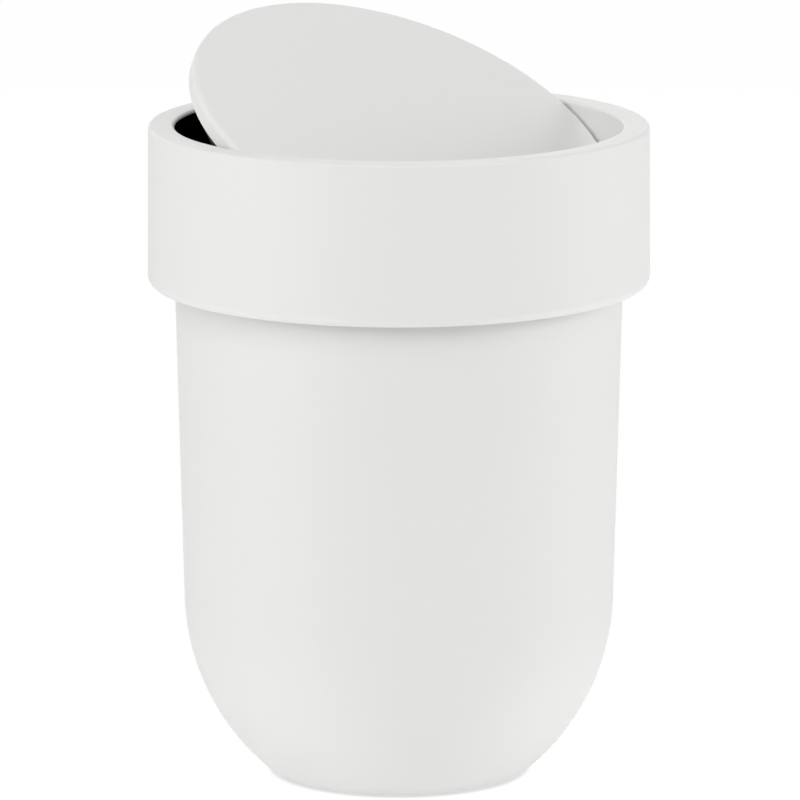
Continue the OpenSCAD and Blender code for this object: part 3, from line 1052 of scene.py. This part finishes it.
@dataclass
class Lid:
    """The swing lid: a light disc over a black pan that carries its pins, pegs and counterweight."""

    hinge: Hinge
    body: str = "lid"
    tilt: float = 28.0
    radius: float = 84.2
    top_h: float = 8.0
    band_low_h: float = 1.6
    disc_wall: float = 2.2
    top_round: float = 2.0
    low_round: float = 0.5
    inner_round: float = 0.8
    pan_depth: float = 18.0
    pan_wall: float = 1.8
    pan_round: float = 5.0
    pan_slope: float = 38.0
    pan_setback: float = 0.8
    tongue_gap: float = 0.2
    tongue_t: float = 1.6
    tongue_h: float = 2.2
    pin_hole_r: float = 2.53
    boss_r: float = 4.7
    boss_in_x: float = 73.2
    boss_wall: float = 1.5
    boss_gap: float = 0.1
    peg_r: float = 1.2
    peg_arm: float = 7.1
    peg_reach: float = 2.7
    peg_root: float = 1.0
    arm_w: float = 4.0
    arm_out_x: float = 83.9
    screw_count: int = 4
    screw_ring_r: float = 58.0
    screw_steps: int = 24
    screw_hole_r: float = 1.45
    head_hole_r: float = 2.5
    column_r: float = 4.1
    column_roof: float = 2.4

    def along_hinge(
        self, radius: float, start: float, end: float, height: float
    ) -> list[bmesh.types.BMesh]:
        """Makes a pair of bars, one at each end of the hinge.

        Args:
            radius: the bars' radius.
            start: distance of their near ends from the middle.
            end: distance of their far ends.
            height: their height in the lid's own frame.

        Returns:
            The two bars.
        """
        lift = Matrix.Translation((0.0, 0.0, height))
        lay = Matrix.Rotation(math.pi / 2, 4, "Y")
        turns = (0.0, math.pi)
        return [bar(radius, start, end, Matrix.Rotation(turn, 4, "Z") @ lift @ lay) for turn in turns]

    def screw_places(self) -> list[Matrix]:
        """Gives the places of the lid screws in the lid's own frame."""
        out = Matrix.Translation((self.screw_ring_r, 0.0, 0.0))
        step = math.tau / self.screw_count
        return [Matrix.Rotation(step * (index + 0.5), 4, "Z") @ out for index in range(self.screw_count)]

    def disc(self) -> bpy.types.Object:
        """Makes the light top of the lid."""
        band_r = self.radius - self.disc_wall
        under_h = self.top_h - self.disc_wall
        low, fillet = self.low_round, self.inner_round
        section = HalfSection(0.0, self.top_h)
        section.line(self.radius - self.top_round, self.top_h)
        section.arc(self.radius - self.top_round, self.top_h - self.top_round, -90.0, ArcSteps.CORNER)
        section.line(self.radius, self.band_low_h + low)
        section.arc(self.radius - low, self.band_low_h + low, -90.0, ArcSteps.LIP)
        section.line(band_r, self.band_low_h)
        section.line(band_r, under_h - fillet)
        section.arc(band_r - fillet, under_h - fillet, 90.0, ArcSteps.FILLET)
        section.line(0.0, under_h)
        holes = self.along_hinge(self.pin_hole_r, band_r - 2 * PAST, self.radius + 2 * PAST, 0.0)
        mesh = worked(section.spun(), Joined.CUT, holes)
        top = piece_from(mesh, "lid_top", self.hinge.place(self.tilt))
        return dressed(top, WHITE, self.body, "lid_disc")

    def pan_side(self, inset: float, height: float) -> float:
        """Gives the radius of the pan's sloping side.

        Args:
            inset: how far inside the outer face.
            height: the height in the lid's own frame.

        Returns:
            The radius there.
        """
        slope = math.radians(self.pan_slope)
        run = (self.band_low_h - height) * math.tan(slope)
        return self.radius - self.pan_setback - run - inset / math.cos(slope)

    def pan_curve(self, inset: float) -> tuple[float, float]:
        """Finds the centre of the small curve between the pan's side and its flat bottom.

        Args:
            inset: how far inside the outer face.

        Returns:
            Its distance from the axis, and its height.
        """
        curve = self.pan_round - inset / 2
        height = inset - self.pan_depth + curve
        return self.pan_side(inset, height) - curve / math.cos(math.radians(self.pan_slope)), height

    def tongue_r(self) -> float:
        """Gives the outer radius of the tongue that sits inside the disc's band."""
        return self.radius - self.disc_wall - self.tongue_gap

    def pan_section(self) -> HalfSection:
        """Draws the pan's half section, with its tongue."""
        slope = math.radians(self.pan_slope)
        out_x, out_z = self.pan_curve(0.0)
        in_x, in_z = self.pan_curve(self.pan_wall)
        tongue_in_r = self.tongue_r() - self.tongue_t
        tongue_high = self.band_low_h + self.tongue_h
        meet = tongue_in_r - self.pan_side(self.pan_wall, 0.0)
        inner = self.pan_round - self.pan_wall / 2
        bend = 90.0 - self.pan_slope
        section = HalfSection(0.0, -self.pan_depth)
        section.line(out_x, -self.pan_depth)
        section.arc(out_x, out_z, bend, ArcSteps.CORNER)
        section.line(self.pan_side(0.0, self.band_low_h), self.band_low_h)
        section.line(self.tongue_r(), self.band_low_h)
        section.line(self.tongue_r(), tongue_high)
        section.line(tongue_in_r, tongue_high)
        section.line(tongue_in_r, meet / math.tan(slope))
        section.line(in_x + inner * math.cos(slope), in_z - inner * math.sin(slope))
        section.arc(in_x, in_z, -bend, ArcSteps.INSIDE)
        section.line(0.0, self.pan_wall - self.pan_depth)
        return section

    def stops(self, mesh: bmesh.types.BMesh) -> bmesh.types.BMesh:
        """Fuses the two arms and their stop pegs to the pan.

        Args:
            mesh: the pan, which is freed.

        Returns:
            The pan with its stops.
        """
        low = Vector((self.boss_in_x, -self.arm_w / 2, -self.peg_arm - self.peg_r))
        high = Vector((self.arm_out_x, self.arm_w / 2, 0.0))
        arms = [block(low, high, Matrix.Rotation(turn, 4, "Z")) for turn in (0.0, math.pi)]
        start, end = self.arm_out_x - self.peg_root, self.radius + self.peg_reach
        pegs = self.along_hinge(self.peg_r, start, end, -self.peg_arm)
        return worked(worked(mesh, Joined.FUSED, arms), Joined.FUSED, pegs)

    def pan(self) -> bpy.types.Object:
        """Makes the black pan, with its screw columns, pin bosses and stop pegs."""
        roots, below = self.pan_wall / 2 - self.pan_depth, -self.pan_depth - PAST
        places = self.screw_places()
        columns = [bar(self.column_r, roots, 0.0, place) for place in places]
        bosses = self.along_hinge(self.boss_r, self.boss_in_x, self.tongue_r() - self.boss_gap, 0.0)
        mesh = worked(self.pan_section().spun(), Joined.FUSED, columns + bosses)
        mesh = self.stops(mesh)
        heads = [bar(self.head_hole_r, below, -self.column_roof, place) for place in places]
        mesh = worked(mesh, Joined.CUT, heads)
        threads = [bar(self.screw_hole_r, below, PAST, place, self.screw_steps) for place in places]
        start, end = self.boss_in_x + self.boss_wall, self.radius + 2 * PAST
        holes = self.along_hinge(self.pin_hole_r, start, end, 0.0)
        mesh = worked(mesh, Joined.CUT, threads + holes)
        under = piece_from(mesh, "lid_under", self.hinge.place(self.tilt))
        # The pan's black is partly its own colour and partly painted shade under the raised lid.
        return dressed(under, PAN_BLACK_WITH_SHADE, self.body, "lid_pan")

    def build(self, nodes: dict[str, bpy.types.Object]) -> list[bpy.types.Object]:
        """Builds and dresses the lid.

        Args:
            nodes: the frame's nodes by name.

        Returns:
            Its pieces.
        """
        metal = ("pivot_pin_left", "pivot_pin_right", "counterweight", "counterweight_screws", "lid_screws")
        return [self.disc(), self.pan(), *painted(nodes, STEEL, *metal)]


@dataclass(frozen=True)
class SoftBox:
    """A square lamp that shines at the object from a side."""

    name: str
    azimuth: float
    elevation: float
    distance: float
    width: float
    watts: float

    def build(self, aim: Vector) -> bpy.types.Object:
        """Makes the lamp.

        Args:
            aim: the point that it shines at.

        Returns:
            The lamp.
        """
        data = bpy.data.lights.new(self.name, "AREA")
        data.shape = "SQUARE"
        data.size = self.width
        data.energy = self.watts
        lamp = bpy.data.objects.new(self.name, data)
        bpy.context.scene.collection.objects.link(lamp)
        azimuth, elevation = math.radians(self.azimuth), math.radians(self.elevation)
        level = math.cos(elevation)
        back = Vector((math.sin(azimuth) * level, -math.cos(azimuth) * level, math.sin(elevation)))
        lamp.rotation_euler = (-back).to_track_quat("-Z", "Y").to_euler()
        lamp.location = aim + back * self.distance
        lamp.visible_camera = False
        return lamp


@dataclass
class Studio:
    """The pale floor, the soft lamps, the pale surround and the camera."""

    floor_half: float = 8.0
    floor_back: float = 2.0
    floor_colour: float = 0.85
    floor_light: float = 0.31
    floor_white: float = 0.985
    # Reach, samples and tones of the floor's painted contact shadow
    painted_shadow_reach: float = 0.002
    painted_shadow_samples: int = 16
    painted_shadow_tones: tuple[tuple[float, float], ...] = ((0.0, 0.66), (0.7, 1.0))
    surround: float = 0.15
    camera_place: tuple[float, float, float] = (0.0, -2.8743, 0.7191)
    camera_pitch: float = 11.32
    camera_sees: tuple[float, float] = (0.05, 60.0)
    lens: float = 345.9
    sensor: float = 36.0
    shift_x: float = 0.00138
    aim: Vector = field(default_factory=lambda: Vector((0.0, 0.0, 0.14)))
    lamps: tuple[SoftBox, ...] = (
        SoftBox("left_front", -60.0, 15.0, 1.6, 0.5, 5.8),
        SoftBox("right", 80.0, 15.0, 1.6, 0.8, 9.7),
        SoftBox("above", 0.0, 88.0, 1.6, 0.8, 7.6),
        SoftBox("front_above", 0.0, 35.0, 1.6, 0.8, 4.3),
        SoftBox("left_above", -45.0, 45.0, 1.6, 0.8, 3.8),
        SoftBox("back_left", -140.0, 20.0, 1.6, 0.8, 2.3),
        SoftBox("behind", 180.0, 15.0, 1.6, 0.8, 6.0),
    )

    def paint(self) -> bpy.types.Material:
        """Makes the floor's material: white to the camera, with a painted contact shadow that makes it
        darker close round what stands on it.

        Returns:
            The material, clear from below.
        """
        material = bpy.data.materials.new("floor")
        material.use_nodes = True
        bench = Bench(material.node_tree)
        grey = (self.floor_colour, self.floor_colour, self.floor_colour, 1.0)
        lit = bench.node("ShaderNodeBsdfDiffuse", None, {"Color": grey})
        shine = bench.node("ShaderNodeEmission", None, {"Color": PURE_WHITE, "Strength": self.floor_light})
        warm = bench.node("ShaderNodeAddShader", None, {0: lit.outputs[0], 1: shine.outputs[0]})
        # Painted shadow: the camera's white floor is darkened by ambient occlusion close round the object.
        ao_near = bench.node(
            "ShaderNodeAmbientOcclusion",
            {"samples": self.painted_shadow_samples, "only_local": False},
            {"Distance": self.painted_shadow_reach},
        )
        painted_shadow_tone = bench.node(
            "ShaderNodeValToRGB", {"stops": self.painted_shadow_tones}, {"Fac": ao_near.outputs["AO"]}
        )
        white_with_painted_shadow = bench.node("ShaderNodeEmission", None, {"Color": painted_shadow_tone.outputs[0], "Strength": 1.0})
        seen = Term(bench, bench.node("ShaderNodeLightPath").outputs["Is Camera Ray"])
        sockets = {0: seen * self.floor_white, 1: warm.outputs[0], 2: white_with_painted_shadow.outputs[0]}
        top = bench.node("ShaderNodeMixShader", None, sockets)
        under = bench.node("ShaderNodeNewGeometry").outputs["Backfacing"]
        clear = bench.node("ShaderNodeBsdfTransparent")
        sockets = {0: under, 1: top.outputs[0], 2: clear.outputs[0]}
        both = bench.node("ShaderNodeMixShader", None, sockets)
        bench.node("ShaderNodeOutputMaterial", None, {"Surface": both.outputs[0]})
        return material

    def floor(self) -> bpy.types.Object:
        """Makes the floor, set back so that the seam of its two triangles runs clear of the object."""
        mesh = bmesh.new()
        back = Matrix.Translation((0.0, self.floor_back, 0.0))
        bmesh.ops.create_grid(mesh, x_segments=1, y_segments=1, size=self.floor_half, matrix=back)
        data = bpy.data.meshes.new("floor")
        mesh.to_mesh(data)
        mesh.free()
        data.materials.append(self.paint())
        floor = bpy.data.objects.new("floor", data)
        bpy.context.scene.collection.objects.link(floor)
        return floor

    def world(self) -> None:
        """Makes the surround: white where it is seen or mirrored, and a plain level of light elsewhere."""
        world = bpy.data.worlds.new("surround")
        bpy.context.scene.world = world
        world.use_nodes = True
        bench = Bench(world.node_tree)
        light = bench.node("ShaderNodeBackground", None, {"Color": PURE_WHITE, "Strength": self.surround})
        shown = bench.node("ShaderNodeBackground", None, {"Color": PURE_WHITE, "Strength": 1.0})
        ray = bench.node("ShaderNodeLightPath").outputs
        white = Term(bench, ray["Is Camera Ray"])
        for kind in ("Is Glossy Ray", "Is Transmission Ray"):
            white = white.or_larger(ray[kind])
        sockets = {0: white, 1: light.outputs[0], 2: shown.outputs[0]}
        both = bench.node("ShaderNodeMixShader", None, sockets)
        bench.node("ShaderNodeOutputWorld", None, {"Surface": both.outputs[0]})

    def camera(self) -> None:
        """Makes the camera at the photograph's viewing angle."""
        data = bpy.data.cameras.new("camera")
        data.lens = self.lens
        data.sensor_width = self.sensor
        data.shift_x = self.shift_x
        data.clip_start, data.clip_end = self.camera_sees
        camera = bpy.data.objects.new("camera", data)
        bpy.context.scene.collection.objects.link(camera)
        camera.location = self.camera_place
        camera.rotation_euler = (math.radians(90.0 - self.camera_pitch), 0.0, 0.0)
        bpy.context.scene.camera = camera

    def build(self) -> None:
        """Builds the studio."""
        self.floor()
        self.world()
        self.camera()
        for lamp in self.lamps:
            lamp.build(self.aim)
        bpy.context.scene.view_settings.view_transform = "Standard"


def main() -> None:
    """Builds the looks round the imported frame."""
    logging.basicConfig(level=logging.INFO, format="%(message)s")
    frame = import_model()
    hinge = Hinge.from_joints(frame["joints"], "lid_swing")
    for assembly in (Can(), Collar(hinge), Lid(hinge)):
        for piece in assembly.build(frame["nodes"]):
            LOG.info("%s: %s, %d faces", assembly.body, piece.name, len(piece.data.polygons))
    Studio().build()


if __name__ == "__main__":
    main()
